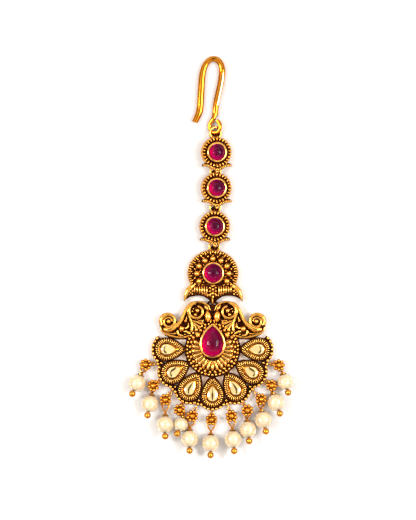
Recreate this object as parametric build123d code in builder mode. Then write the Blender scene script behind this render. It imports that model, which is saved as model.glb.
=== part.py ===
from build123d import *

# Maang tikka: a forehead jewel lying face up on its back.
# Millimetres.  X runs across the jewel, Y up its length towards the hair hook, Z out of its face.
# The origin is the centre of the fluted disc, on the flat back of the pendant.

import os
from math import asin, atan2, cos, degrees, radians, sin, tan

GAP = 0.06                # clear space between pieces that are not soldered

# Pendant: a fluted disc with a pear setting, seven petals below it and a scrolled crest above
PLATE_T = 1.0
DISC_R = 6.5
DISC_T = 1.7
FLUTES = 28
DISC_BEADS = 40
PETALS = 7
PETAL_STEP = 30.0         # degrees between petals
FIRST_PETAL = 180.0
PETAL_REACH = 11.6        # disc centre to the middle of a petal's round end
PETAL_R = 2.55
PETAL_LENGTH = 4.3        # round end's middle to the petal's point
PETAL_T = 1.9
PETAL_WALL = 0.67
DOME_R = PETAL_R - PETAL_WALL - 0.25
DOME_LENGTH = PETAL_LENGTH - 1.5 * PETAL_WALL - 0.5
DOME_TOP = 2.7
RIM_REACH = 11.0          # disc centre to the middle of a petal's beaded rim
RIM_R = 3.95
RIM_BEAD_R = 0.375
PIERCE_NEAR = 7.0         # pierced triangle, from its base to its point
PIERCE_FAR = 10.2
PIERCE_HALF_ANGLE = 10.5

# Pear setting
PEAR_R = 2.67
PEAR_LENGTH = 4.8
PEAR_BEZEL = 0.45
PEAR_CENTRE = 1.08
PEAR_SEAT = 1.3
PEAR_BEZEL_TOP = 3.1
PEAR_TOP = 4.2

# Small links: a round setting on a ribbed disc over a winged collar
LINK_DISC_R = 3.85
LINK_DISC_T = 1.35
LINK_RIBS = 28
BEZEL_TOP = 2.25
LINK_SEAT = 1.2
STONE_R = 1.98
STONE_TOP = 3.2
BEZEL_WALL = 0.5
WING_SPAN = 3.9
COLLAR_LOW = 1.4
COLLAR_T = 0.65

# Large link: a ribbed disc ringed with granules, over a collar with two horns
BIG_DISC_R = 6.2
BIG_STONE_R = 2.2
GRANULES = 9
GRANULE_R = 0.7
GRANULE_REACH = 3.95
BIG_BARS = 36
HORN_SPAN = 7.35          # disc's middle line to a horn's tip
HORN_DROP = 7.2           # disc's centre down to a horn's tip
COLLAR_GRAIN_R = 0.42
COLLAR_GRAINS = [(0, -3.7), (-0.7, -4.2), (0.7, -4.2), (0, -4.7), (-0.7, -5.2), (0.7, -5.2), (0, -5.7)]

# Rings and loops that join the links
TOP_RING_R = 1.46         # the first small link's ring, which the hair hook's eye passes through
TOP_RING_WIRE = 0.33
RING_R = 1.24
RING_WIRE = 0.32
RING_Z = 1.15
LOOP_REACH = 1.36         # a ring's middle to the middle of the loop that catches it
LOOP_R = 0.75
LOOP_WIRE = 0.2

# Hair hook
HOOK_WIRE = 0.78
EYE_R = 1.47
EYE_WIRE = 0.44
EYE_Z = 1.1
EYE_TILT = 21.0           # the hook's eye and the first ring roll opposite ways to pass each other

# Drops: flower of granules, head pin, pearl
BALL_R = 0.45
BALL_REACH = 1.12
CENTRE_BALL_R = 0.62
CLUSTER_Z = 1.6
RIM_RING_R = 0.45
RIM_RING_WIRE = 0.15
RIM_RING_Z = 0.7
STEM_LENGTH = 1.7         # rim ring to the plate that it is soldered to
RIM_RING_REACH = 1.75     # flower's middle to the rim ring that holds it
HANG_LOOP_R = 0.5
HANG_LOOP_WIRE = 0.12
CATCH_REACH = 0.35        # flower's middle to the pin's eye
CATCH_Z = 0.66
PIN_WIRE = 0.2
PIN_SHANK = 0.25
PEARL_HOLE = 0.31
CAP_R = 0.82
CAP_T = 0.45
CAP_NECK = 0.4
HEAD_R = 0.85

# link, ring x, ring y, disc x, disc y, roll to the right in degrees
SMALL_LINKS = [
    ("small_link_1", 0.69, 54.00, 0.80, 49.18, 11.0),
    ("small_link_2", 0.75, 44.43, 0.83, 40.28, 8.0),
    ("small_link_3", 0.65, 35.33, 0.45, 30.70, 5.0),
]
BIG_RING = (0.43, 25.60)
BIG_DISC = (0.18, 19.03)
PENDANT_RING = (0.0, 10.85)
HOOK_EYE = (0.57, 55.42)

# Hair hook's corners, from its tip over the bend to its eye
HOOK_ROUTE = [
    (-4.45, 56.70),
    (-3.15, 59.90),
    (-2.75, 67.60),
    (-2.20, 71.20),
    (-0.45, 72.80),
    (1.65, 72.65),
    (2.60, 70.30),
    (1.75, 65.00),
    (0.75, 60.90),
    (0.64, 58.00),
]

# drop, rim angle, flower x, flower y, pearl x, pearl y, pearl radius, pin heading, pin pitch
DROPS = [
    ("01", 195, -16.68, -3.80, -18.80, -8.45, 2.15, 245, 20),
    ("02", 210, -14.80, -9.03, -15.62, -13.60, 2.15, 258, 20),
    ("03", 225, -11.75, -12.55, -11.80, -18.75, 2.15, 270, 20),
    ("04", 240, -8.25, -15.08, -7.90, -18.75, 1.78, 248, 26),
    ("05", 255, -5.05, -16.62, -5.72, -22.35, 2.15, 270, 20),
    ("06", 270, -0.25, -17.50, -0.45, -23.45, 2.15, 269, 20),
    ("07", 285, 4.73, -16.62, 5.15, -22.45, 2.15, 275, 20),
    ("08", 300, 8.70, -15.20, 8.83, -20.00, 2.10, 276, 20),
    ("09", 315, 12.18, -12.45, 12.65, -17.60, 2.15, 283, 20),
    ("10", 330, 14.75, -8.98, 15.80, -13.25, 2.15, 290, 20),
    ("11", 345, 16.52, -3.93, 18.12, -8.15, 1.97, 286, 20),
]

# Crest, left half: height and radius of a raised stroke, then the points that it runs through
CREST_STROKES = [
    (1.5, 0.50, [(-12.9, 4.2), (-13.0, 6.6), (-12.2, 8.4), (-10.3, 8.8), (-9.3, 7.7)]),
    (1.6, 0.55, [(-12.4, 5.1), (-10.6, 4.9), (-8.6, 5.7), (-7.4, 8.0), (-6.3, 10.6), (-4.6, 11.7)]),
    (1.3, 0.38, [(-12.8, 3.9), (-10.8, 3.1), (-8.4, 3.2), (-6.4, 4.3)]),
]
CREST_COIL = (-3.75, 9.55, 1.6)
# Crest, left half: ball x, ball y, radius
CREST_BALLS = [
    (-3.75, 9.70, 0.75),
    (-10.85, 6.75, 0.95),
    (-7.62, 5.20, 0.75),
    (-6.90, 6.75, 0.40),
    (-5.30, 4.15, 0.50),
    (-4.05, 3.95, 0.55),
    (-8.45, 4.15, 0.45),
]
# Crest, left half: leaf x, leaf y, half width, half length, turn in degrees
CREST_LEAVES = [
    (-1.10, 8.15, 0.75, 1.35, 8),
    (-1.45, 10.45, 0.55, 1.00, 48),
    (-5.70, 5.55, 0.42, 1.30, 12),
    (-4.35, 6.20, 0.35, 1.10, 32),
    (-3.10, 6.90, 0.32, 1.15, 66),
]


def spoke_point(reach, angle, height=0.0):
    """Point at a distance and an angle from the disc's centre."""
    return (reach * cos(radians(angle)), reach * sin(radians(angle)), height)


def rolled_plane(x, y, z, roll):
    """Plane facing up, rolled about Y so that its face turns towards +X."""
    turn = radians(roll)
    return Plane(origin=(x, y, z), x_dir=(cos(turn), 0, -sin(turn)), z_dir=(sin(turn), 0, cos(turn)))


def upright_plane(x, y, z, heading):
    """Plane that stands on edge and holds the horizontal heading, for a loop seen edge on."""
    turn = radians(heading)
    return Plane(origin=(x, y, z), x_dir=(cos(turn), sin(turn), 0), z_dir=(-sin(turn), cos(turn), 0))


def wire_ring(plane, radius, wire):
    """Closed wire ring lying in a plane."""
    with Locations(plane):
        Torus(radius, wire)


def teardrop(radius, length, shoulder=12.0):
    """Teardrop face: round end about the origin, point at (length, 0)."""
    lean = radians(shoulder)
    reach = (length**2 - radius**2) / (2 * (radius - length * sin(lean)))
    centre_x, centre_y = -reach * sin(lean), -reach * cos(lean)
    start = degrees(atan2(-centre_y + radius * cos(lean), -centre_x + radius * sin(lean)))
    end = degrees(atan2(-centre_y, length - centre_x))
    middle = radians((start + end) / 2)
    side_x = centre_x + (radius + reach) * cos(middle)
    side_y = centre_y + (radius + reach) * sin(middle)
    shoulder_x, shoulder_y = radius * sin(lean), radius * cos(lean)
    with BuildSketch() as shape:
        with BuildLine():
            ThreePointArc((shoulder_x, shoulder_y), (side_x, side_y), (length, 0))
            ThreePointArc((length, 0), (side_x, -side_y), (shoulder_x, -shoulder_y))
            ThreePointArc((shoulder_x, -shoulder_y), (-radius, 0), (shoulder_x, shoulder_y))
        make_face()
    return shape.sketch


def teardrop_dome(plane, radius, length, low, high):
    """Domed teardrop standing on a plane between two heights."""
    with BuildPart() as dome:
        for climb, share in ((0, 1.0), (0.45, 0.93), (0.82, 0.68), (1, 0.3)):
            with BuildSketch(plane.offset(low + climb * (high - low))):
                add(teardrop(radius * share, length * share))
        loft()
    return dome.part


def round_stone(plane, radius, low, girdle, high):
    """Cabochon: a short round girdle under a dome that is part of a sphere."""
    rise = high - girdle
    cap_radius = (radius**2 + rise**2) / (2 * rise)
    with BuildPart() as stone:
        with BuildSketch(Plane(origin=plane.origin, x_dir=plane.x_dir, z_dir=-plane.y_dir)):
            with BuildLine():
                Polyline((0, high), (0, low), (radius, low), (radius, girdle))
                RadiusArc((radius, girdle), (0, high), -cap_radius)
            make_face()
        revolve(axis=Axis(plane.origin, plane.z_dir))
    return stone.part


def corner_radii(points):
    """Radius of each rounded corner, as wide as the runs beside it allow."""
    radii = []
    for before, corner, after in zip(points, points[1:], points[2:]):
        run_in = Vector(*corner) - Vector(*before)
        run_out = Vector(*after) - Vector(*corner)
        turn = radians(run_in.get_angle(run_out))
        radii.append(0.45 * min(run_in.length, run_out.length) / tan(turn / 2))
    return radii


def tube(points, height, wire):
    """Round wire along rounded corners."""
    with BuildPart() as bar:
        with BuildLine() as route:
            FilletPolyline(*[(x, y, height) for x, y in points], radius=corner_radii(points))
        with BuildSketch(Plane(origin=route.line @ 0, z_dir=route.line % 0)):
            Circle(wire)
        sweep(path=route.line)
    return bar.part


def wing_collar(plane, span, low, thickness):
    """Two ribbed wings that meet in a point below the disc."""
    with BuildPart() as collar:
        with BuildSketch(plane.offset(low)):
            with BuildLine():
                Polyline((-0.80 * span, -2.65), (0.80 * span, -2.65), (span, -3.45))
                ThreePointArc((span, -3.45), (0.58 * span, -3.62), (0.30 * span, -4.20))
                Polyline((0.30 * span, -4.20), (0, -4.75), (-0.30 * span, -4.20))
                ThreePointArc((-0.30 * span, -4.20), (-0.58 * span, -3.62), (-span, -3.45))
                Line((-span, -3.45), (-0.80 * span, -2.65))
            make_face()
        extrude(amount=thickness)
    return collar.part


def bars(plane, places, length, radius, angle=0.0):
    """Round bars lying side by side on a plane, each turned from its Y by an angle outwards."""
    with Locations(plane):
        with Locations(*[Location((x, y, 0), (0, 0, angle if x > 0 else -angle)) for x, y in places]):
            Cylinder(radius, length, rotation=(90, 0, 0))


def radial_ribs(plane, count, reach, length, radius, height):
    """Round bars laid out like the spokes of a wheel."""
    with Locations(plane.offset(height)):
        with PolarLocations(reach, count):
            Cylinder(radius, length, rotation=(0, 90, 0))


def round_setting(plane, disc_radius, disc_thickness, stone_radius):
    """Disc with a bezel whose seat takes a cabochon."""
    with Locations(plane):
        Cylinder(disc_radius, disc_thickness, align=(Align.CENTER, Align.CENTER, Align.MIN))
        Cylinder(
            stone_radius + BEZEL_WALL, BEZEL_TOP, align=(Align.CENTER, Align.CENTER, Align.MIN)
        )
    with Locations(plane.offset(LINK_SEAT)):
        Cylinder(
            stone_radius + GAP, 3.0, align=(Align.CENTER, Align.CENTER, Align.MIN), mode=Mode.SUBTRACT
        )


def ring_pocket(plane, ring_x, ring_y, disc_x, disc_y):
    """Room under a disc's lower edge for the next piece's ring."""
    with Locations(plane):
        with Locations((ring_x - disc_x, ring_y - disc_y + 0.5, 0)):
            Box(4.2, 5.0, 2 * COLLAR_LOW, mode=Mode.SUBTRACT)


# Where each link's lower loop catches the ring below it
RINGS = [(x, y) for _, x, y, _, _, _ in SMALL_LINKS] + [BIG_RING, PENDANT_RING]


def make_small_link(index):
    name, ring_x, ring_y, disc_x, disc_y, roll = SMALL_LINKS[index]
    next_x, next_y = RINGS[index + 1]
    lift = LINK_DISC_R * sin(radians(roll))
    face = rolled_plane(disc_x, disc_y, lift, roll)
    collar = wing_collar(face, WING_SPAN, COLLAR_LOW, COLLAR_T)
    with BuildPart() as link:
        round_setting(face, LINK_DISC_R, LINK_DISC_T, STONE_R)
        ring_pocket(face, next_x, next_y, disc_x, disc_y)
        radial_ribs(face, LINK_RIBS, 3.4, 0.85, 0.27, LINK_DISC_T)
        add(collar)
        wing_places = [(side * (0.9 + 0.5 * step), -3.35) for step in range(6) for side in (-1, 1)]
        bars(face.offset(COLLAR_LOW + COLLAR_T), wing_places, 0.9, 0.2, 12)
        if index == 0:
            wire_ring(rolled_plane(ring_x, ring_y, EYE_Z, -EYE_TILT), TOP_RING_R, TOP_RING_WIRE)
        else:
            wire_ring(rolled_plane(ring_x, ring_y, RING_Z, 0), RING_R, RING_WIRE)
        with Locations((disc_x, disc_y + LINK_DISC_R - 0.3, 0)):
            Box(1.5, 1.2, RING_Z + 0.1, align=(Align.CENTER, Align.CENTER, Align.MIN))
        loop_r = max(LOOP_R, COLLAR_LOW + lift - RING_Z)
        wire_ring(upright_plane(next_x, next_y + LOOP_REACH, RING_Z, 90), loop_r, LOOP_WIRE)
    link.part.label = name
    stone = round_stone(face, STONE_R, LINK_SEAT + GAP, BEZEL_TOP - 0.1, STONE_TOP)
    stone.label = f"ruby_{index + 1}"
    return link.part, stone


def make_large_link():
    disc_x, disc_y = BIG_DISC
    ring_x, ring_y = BIG_RING
    loop_x, loop_y = PENDANT_RING
    face = rolled_plane(disc_x, disc_y, 0, 0)
    with BuildPart() as link:
        round_setting(face, BIG_DISC_R, LINK_DISC_T, BIG_STONE_R)
        radial_ribs(face, BIG_BARS, 5.65, 1.2, 0.26, LINK_DISC_T)
        with Locations(face.offset(LINK_DISC_T + 0.1)):
            with PolarLocations(GRANULE_REACH, GRANULES, -30, 240, endpoint=True):
                Sphere(GRANULE_R)
        with BuildSketch(face):
            with BuildLine():
                Polyline((-4.9, -3.0), (4.9, -3.0), (6.0, -3.4))
                ThreePointArc((6.0, -3.4), (7.25, -5.0), (HORN_SPAN, -HORN_DROP))
                ThreePointArc((HORN_SPAN, -HORN_DROP), (4.1, -5.35), (0.75, -6.9))
                Polyline((0.75, -6.9), (0, -7.7), (-0.75, -6.9))
                ThreePointArc((-0.75, -6.9), (-4.1, -5.35), (-HORN_SPAN, -HORN_DROP))
                ThreePointArc((-HORN_SPAN, -HORN_DROP), (-7.25, -5.0), (-6.0, -3.4))
                Line((-6.0, -3.4), (-4.9, -3.0))
            make_face()
        extrude(amount=COLLAR_LOW + COLLAR_T)
        bar_places = [(side * (1.6 + 0.6 * step), -4.2) for step in range(5) for side in (-1, 1)]
        bars(face.offset(COLLAR_LOW + COLLAR_T), bar_places, 1.9, 0.25)
        with Locations(face.offset(COLLAR_LOW + COLLAR_T)):
            with Locations(*COLLAR_GRAINS):
                Sphere(COLLAR_GRAIN_R)
        with Locations((loop_x, loop_y + 0.9, 0)):
            Box(3.4, 3.6, 2 * (RING_Z + RING_WIRE + 0.12), mode=Mode.SUBTRACT)
        wire_ring(rolled_plane(ring_x, ring_y, RING_Z, 0), RING_R, RING_WIRE)
        wire_ring(upright_plane(loop_x, loop_y + LOOP_REACH, RING_Z, 90), LOOP_R + 0.1, LOOP_WIRE)
    link.part.label = "large_link"
    stone = round_stone(face, BIG_STONE_R, LINK_SEAT + GAP, BEZEL_TOP - 0.1, STONE_TOP + 0.1)
    stone.label = "ruby_large"
    return link.part, stone


def make_hair_hook():
    eye_x, eye_y = HOOK_EYE
    bent_wire = tube(HOOK_ROUTE, HOOK_WIRE, HOOK_WIRE)
    with BuildPart() as hook:
        add(bent_wire)
        with Locations(Plane(origin=(0.62, 57.6, HOOK_WIRE + 0.1), z_dir=(0, -1, -0.2))):
            Cone(HOOK_WIRE - 0.04, EYE_WIRE + 0.06, 2.0)
        wire_ring(rolled_plane(eye_x, eye_y, EYE_Z, EYE_TILT), EYE_R, EYE_WIRE)
    hook.part.label = "hair_hook"
    return hook.part


def rim_ring_place(drop):
    """Middle and heading of the rim ring that holds a drop."""
    _, angle, x, y, *_ = drop
    anchor_x, anchor_y, _ = spoke_point(13.6, angle)
    heading = degrees(atan2(y - anchor_y, x - anchor_x))
    ring_x = x - RIM_RING_REACH * cos(radians(heading))
    ring_y = y - RIM_RING_REACH * sin(radians(heading))
    return ring_x, ring_y, heading


def make_petals():
    places = []
    for index in range(PETALS):
        angle = FIRST_PETAL + PETAL_STEP * index
        centre, inwards = spoke_point(PETAL_REACH, angle), spoke_point(-1, angle)
        places.append(Plane(origin=centre, x_dir=inwards, z_dir=(0, 0, 1)))
    domes = [teardrop_dome(place, DOME_R, DOME_LENGTH, 0.5, DOME_TOP) for place in places]
    with BuildPart() as petals:
        for place, dome in zip(places, domes):
            with BuildSketch(place):
                add(teardrop(PETAL_R, PETAL_LENGTH))
            extrude(amount=PETAL_T)
            with BuildSketch(place.offset(PLATE_T + 0.3)):
                add(teardrop(PETAL_R - PETAL_WALL, PETAL_LENGTH - 1.5 * PETAL_WALL))
            extrude(amount=PETAL_T, mode=Mode.SUBTRACT)
            add(dome)
    return petals.part


def make_crest():
    strokes = [tube(points, height, radius) for height, radius, points in CREST_STROKES]
    with BuildPart() as crest:
        with BuildSketch():
            with BuildLine():
                Polyline((0, 3.0), (0, 8.2), (-0.78, 9.9))
                ThreePointArc((-0.78, 9.9), (-3.9, 12.1), (-6.14, 11.3))
                ThreePointArc((-6.14, 11.3), (-7.35, 8.55), (-8.85, 6.9))
                ThreePointArc((-8.85, 6.9), (-11.05, 9.03), (-13.4, 6.5))
                Polyline((-13.4, 6.5), (-13.4, 4.6), (-12.6, 3.0), (-9.8, 2.7), (-5.5, 2.7), (0, 3.0))
            make_face()
        extrude(amount=PLATE_T)
        for stroke in strokes:
            add(stroke)
        with Locations(CREST_COIL):
            Torus(1.95, 0.45)
        for x, y, radius in CREST_BALLS:
            with Locations((x, y, PLATE_T + 0.5 * radius)):
                Sphere(radius)
        for x, y, half_width, half_length, turn in CREST_LEAVES:
            for height, share in ((0.6, 1.0), (1.7, 0.95), (2.2, 0.5)):
                with BuildSketch(Plane.XY.offset(height)):
                    with Locations(Location((x, y), turn)):
                        Ellipse(half_width * share, half_length * share)
            loft()
        mirror(about=Plane.YZ)
    return crest.part


def make_rim_rings():
    with BuildPart() as rings:
        for drop in DROPS:
            x, y, turn = rim_ring_place(drop)
            with Locations(Location((x, y, RIM_RING_Z), (0, 0, turn))):
                Torus(RIM_RING_R, RIM_RING_WIRE)
                with Locations((-RIM_RING_R - STEM_LENGTH / 2, 0, 0)):
                    Cylinder(0.2, STEM_LENGTH, rotation=(0, 90, 0))
    return rings.part


def make_pendant(petals, crest, rim_rings):
    with BuildPart() as pendant:
        with BuildSketch():
            Circle(DISC_R)
            for index in range(PETALS):
                with Locations(spoke_point(RIM_REACH, FIRST_PETAL + PETAL_STEP * index)):
                    Circle(RIM_R + 0.25)
        extrude(amount=PLATE_T)
        add(rim_rings)
        add(petals)
        add(crest)
        for index in range(PETALS + 1):
            angle = FIRST_PETAL + PETAL_STEP * (index - 0.5)
            with BuildSketch():
                Polygon(
                    spoke_point(PIERCE_NEAR, angle - PIERCE_HALF_ANGLE),
                    spoke_point(PIERCE_NEAR, angle + PIERCE_HALF_ANGLE),
                    spoke_point(PIERCE_FAR, angle),
                    align=None,
                )
            extrude(amount=5, mode=Mode.SUBTRACT)
        Cylinder(DISC_R, DISC_T, align=(Align.CENTER, Align.CENTER, Align.MIN))
        radial_ribs(Plane.XY, FLUTES, 4.45, 2.2, 0.33, DISC_T)
        with Locations((0, 0, DISC_T)):
            with PolarLocations(6.15, DISC_BEADS):
                Sphere(0.36)
        for index in range(PETALS):
            angle = FIRST_PETAL + PETAL_STEP * index
            with Locations(Location(spoke_point(RIM_REACH, angle, PLATE_T), (0, 0, angle))):
                with PolarLocations(RIM_R, 7, -45, 90, endpoint=True):
                    Sphere(RIM_BEAD_R)
        for index in range(PETALS - 1):
            angle = FIRST_PETAL + PETAL_STEP * (index + 0.5)
            with Locations(spoke_point(13.25, angle, PLATE_T), spoke_point(14.05, angle, PLATE_T)):
                Sphere(RIM_BEAD_R)
        setting = Plane(origin=(0, PEAR_CENTRE, 0), x_dir=(0, 1, 0), z_dir=(0, 0, 1))
        with BuildSketch(setting):
            add(teardrop(PEAR_R + PEAR_BEZEL, PEAR_LENGTH + 0.85, 0))
        extrude(amount=PEAR_BEZEL_TOP)
        with BuildSketch(setting.offset(PEAR_SEAT)):
            add(teardrop(PEAR_R + GAP, PEAR_LENGTH + 2 * GAP, 0))
        extrude(amount=5, mode=Mode.SUBTRACT)
        ring_x, ring_y = PENDANT_RING
        wire_ring(rolled_plane(ring_x, ring_y, RING_Z, 0), RING_R, RING_WIRE)
        with Locations((ring_x, ring_y - RING_R - 0.6, 0)):
            Box(1.2, 2.0, RING_Z + 0.2, align=(Align.CENTER, Align.CENTER, Align.MIN))
    pendant.part.label = "pendant"
    with BuildPart() as stone:
        share_steps = ((PEAR_SEAT + GAP, 1.0), (3.0, 1.0), (3.6, 0.9), (4.0, 0.66), (PEAR_TOP, 0.3))
        for height, share in share_steps:
            with BuildSketch(setting.offset(height)):
                add(teardrop(PEAR_R * share, PEAR_LENGTH * share, 0))
        loft(ruled=True)
    stone.part.label = "ruby_pear"
    return pendant.part, stone.part


def eye_wire(plane, length, radius):
    """Wire bent to a teardrop: it leaves the neck, rounds the far end and comes back."""
    centre = length - radius
    touch = asin(radius / centre)
    touch_x, touch_y = centre - radius * sin(touch), radius * cos(touch)
    with BuildPart() as eye:
        with BuildLine(plane) as loop:
            Line((0, 0), (touch_x, touch_y))
            ThreePointArc((touch_x, touch_y), (length, 0), (touch_x, -touch_y))
            Line((touch_x, -touch_y), (0, 0))
        with BuildSketch(Plane(origin=loop.line @ 0, z_dir=loop.line % 0)):
            Circle(PIN_WIRE)
        sweep(path=loop.line, transition=Transition.ROUND)
    return eye.part


def make_drop(drop):
    number, angle, x, y, pearl_x, pearl_y, pearl_r, pin_heading, pin_pitch = drop
    _, _, top_heading = rim_ring_place(drop)
    heading = degrees(atan2(pearl_y - y, pearl_x - x))
    top_reach = RIM_RING_REACH - RIM_RING_R
    catch = Vector(x, y, CATCH_Z) + Vector(*spoke_point(CATCH_REACH, heading))
    with BuildPart() as cluster:
        with Locations((x, y, CLUSTER_Z + 0.3)):
            Sphere(CENTRE_BALL_R)
        with Locations(Location((x, y, CLUSTER_Z), (0, 0, heading))):
            Cylinder(1.1, 0.8)
            with PolarLocations(BALL_REACH, 8, start_angle=24):
                Sphere(BALL_R)
        top = Vector(x, y, RIM_RING_Z) - Vector(*spoke_point(top_reach, top_heading))
        wire_ring(upright_plane(*top, top_heading), HANG_LOOP_R, HANG_LOOP_WIRE)
        wire_ring(upright_plane(*catch, heading), HANG_LOOP_R, HANG_LOOP_WIRE)
    cluster.part.label = f"drop_cluster_{number}"

    # The pin's axis runs from the cap through the pearl to the round head
    level, climb = cos(radians(pin_pitch)), sin(radians(pin_pitch))
    axis = Vector(*spoke_point(level, pin_heading, climb))
    centre = Vector(pearl_x, pearl_y, pearl_r)
    shank = Plane(origin=centre, z_dir=axis)
    with BuildPart() as pearl:
        with Locations(shank):
            Sphere(pearl_r)
            Hole(PEARL_HOLE, pearl_r * 3)
    pearl.part.label = f"pearl_{number}"

    cap_base = pearl_r + GAP
    neck_end = centre - axis * (cap_base + CAP_T + CAP_NECK)
    run = catch - neck_end
    eye_plane = Plane(origin=neck_end, x_dir=run, z_dir=run.cross(Vector(0, 0, 1).cross(run)))
    eye = eye_wire(eye_plane, run.length, min(0.9, 0.42 * run.length))
    with BuildPart() as pin:
        with Locations(shank.offset(pearl_r + GAP + HEAD_R - 0.04)):
            Sphere(HEAD_R)
        with Locations(shank.offset((HEAD_R - CAP_T) / 2)):
            Cylinder(PIN_SHANK, 2 * cap_base + HEAD_R + CAP_T)
        with Locations(shank.offset(-cap_base - CAP_T / 2)):
            Cylinder(CAP_R, CAP_T)
        with Locations(shank.offset(-cap_base - CAP_T - CAP_NECK / 2)):
            Cylinder(0.42, CAP_NECK + 0.1)
        add(eye)
    pin.part.label = f"drop_pin_{number}"
    return cluster.part, pin.part, pearl.part


def main():
    pieces = [make_hair_hook()]
    for index in range(len(SMALL_LINKS)):
        pieces.extend(make_small_link(index))
    pieces.extend(make_large_link())
    pieces.extend(make_pendant(make_petals(), make_crest(), make_rim_rings()))
    for drop in DROPS:
        pieces.extend(make_drop(drop))
    os.makedirs("parts", exist_ok=True)
    for piece in pieces:
        print(piece.label, len(piece.solids()), round(piece.volume, 2), piece.is_valid)
        export_step(piece, f"parts/{piece.label}.step")


main()
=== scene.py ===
from math import asin, atan2, cos, degrees, pi, radians, sin, tau

import bmesh
import bpy
from mathutils import Matrix, Vector


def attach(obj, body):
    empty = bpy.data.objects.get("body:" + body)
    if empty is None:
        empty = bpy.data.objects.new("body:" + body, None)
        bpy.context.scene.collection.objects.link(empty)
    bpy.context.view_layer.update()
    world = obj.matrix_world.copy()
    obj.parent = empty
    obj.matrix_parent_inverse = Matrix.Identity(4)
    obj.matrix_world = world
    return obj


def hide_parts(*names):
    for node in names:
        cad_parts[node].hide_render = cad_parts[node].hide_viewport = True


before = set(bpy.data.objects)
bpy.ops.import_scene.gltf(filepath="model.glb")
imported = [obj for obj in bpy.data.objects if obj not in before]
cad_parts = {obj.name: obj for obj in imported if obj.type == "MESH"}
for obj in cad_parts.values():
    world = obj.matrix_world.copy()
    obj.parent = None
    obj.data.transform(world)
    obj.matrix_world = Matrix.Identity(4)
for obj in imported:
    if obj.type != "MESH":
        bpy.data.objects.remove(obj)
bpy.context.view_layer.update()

# The jewel is modelled in millimetres, in the frame's own axes, and finished in metres.
MM = 0.001

# Pendant: a fluted disc with a pear setting, seven petals below it and a crest above
PLATE_T = 1.0
PLATE_R = 7.0             # gold plate under the disc
DISC_TOP = 1.6            # dark ground of the disc
DISC_BEADS = 44           # round the disc's edge
DISC_BEAD_REACH = 6.36
DISC_GRAINS = 28          # in each of the two rows inside them
DISC_GRAIN_REACH = 5.66
FINE_GRAIN_REACH = 5.08
FLUTES = 17
FLUTE_STEP = 14.2         # degrees between flutes
PETALS = 7
PETAL_STEP = 30.0         # degrees between petals
FIRST_PETAL = 180.0
PETAL_REACH = 11.6        # disc centre to the middle of a petal's round end
PETAL_R = 2.55
PETAL_LENGTH = 4.3        # round end's middle to the petal's point
PETAL_RIBS = 34
PETAL_LOWS = (0.01, 0.02)  # petals side by side start at different heights, so no two faces coincide
PETAL_WEB = 0.48          # ground beyond the round end
PETAL_WEB_LENGTH = 1.0    # and beyond the point
BAND_INSET = 0.74         # inner band inside the round end
BAND_INSET_LENGTH = 1.16
RIM_REACH = 11.0          # disc centre to the middle of a petal's beaded rim
RIM_R = 3.95
RIM_OUTER_R = 4.22
RIM_INNER_R = 3.05
RIM_HALF_ANGLE = 54
RIM_BEAD_STEP = 15        # degrees between beads
PEAR_CENTRE = 0.98
PEAR_R = 2.67
PEAR_LENGTH = 4.8
PEAR_PLAY = 0.08          # stone's round end inside the foil's outline
PEAR_POINT = 0.05         # stone's point beyond it, where it meets the bezel
PEAR_GIRDLE = 2.25
PEAR_RISE = 1.9

# A petal's dome: its sections shrink towards the top, lean to the round end and dip towards the point
DOME_LONG = 0.85          # share of the inner band's length
DOME_WIDE = 0.77
DOME_TOP = 2.10
DOME_FALL = 0.29          # from the top to the foot
DOME_EDGE = 0.11          # steeper fall close to the foot
DOME_DIP = 0.105
DOME_LEAN = -0.30
DOME_STEPS = 18

# Links
LINK_DISC_R = 3.85
LINK_RIBS = 26
SEAT_LOW = 1.2            # foil and foot of a bezel
SEAT_TOP = 2.3            # bezel's upper edge
STONE_LOW = 1.28
STONE_GIRDLE = 1.72
STONE_R = 1.98
STONE_TOP = 3.2
BIG_STONE_R = 2.2
BIG_STONE_TOP = 3.3
BIG_RIBS = 28             # in each of two staggered rows
BIG_OVAL = 0.935          # height of the large disc as a share of its width
GRANULES = 9
GRANULE_STEP = 30         # degrees between granules, from the lower right round to the lower left
GRANULE_START = -30
TOP_RING_R = 1.46         # the first small link's ring, which the hair hook's eye passes through
TOP_RING_WIRE = 0.33
RING_R = 1.24
RING_WIRE = 0.32
RING_Z = 1.15
LOOP_REACH = 1.36         # a ring's middle to the middle of the loop that catches it
LOOP_R = 0.75
LOOP_WIRE = 0.2
COLLAR_LOW = 1.4
COLLAR_SPAN = 3.8
EYE_Z = 1.1               # first ring's middle
EYE_TILT = 21.0           # the hook's eye and the first ring roll opposite ways to pass each other
HOOK_WIRE = 0.78          # height of the hook wire's middle
HOOK_PIT_Z = 1.42         # on the wire's upper side

# Drops: flower of granules, head pin, pearl
CLUSTER_Z = 1.6
PETAL_BALLS = 8
PETAL_BALL_R = 0.46
PETAL_BALL_REACH = 1.12
CENTRE_BALL_R = 0.62
RIM_RING_R = 0.45
RIM_RING_WIRE = 0.15
RIM_RING_Z = 0.7
RIM_RING_REACH = 1.75     # flower's middle to the rim ring that holds it
HANG_LOOP_R = 0.5
CATCH_REACH = 0.35        # flower's middle to the pin's eye
CATCH_Z = 0.66
GAP = 0.06                # clear space between pieces that are not soldered
CAP_T = 0.45
CAP_NECK = 0.4
HEAD_R = 0.85
PEARL_HOLE = 0.31
PIN_SHANK = 0.25
PIN_EYE_R = 0.95          # at most; a short eye is narrower
# Cap on the pearl: radius, height above the pearl's end
CAP_PROFILE = [
    (0.2, 0.0), (0.82, -0.02), (0.88, 0.12), (0.74, 0.24), (0.60, 0.30),
    (0.60, 0.44), (0.52, 0.56), (0.34, 0.66), (0.26, 0.9), (0.0, 0.95),
]

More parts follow.
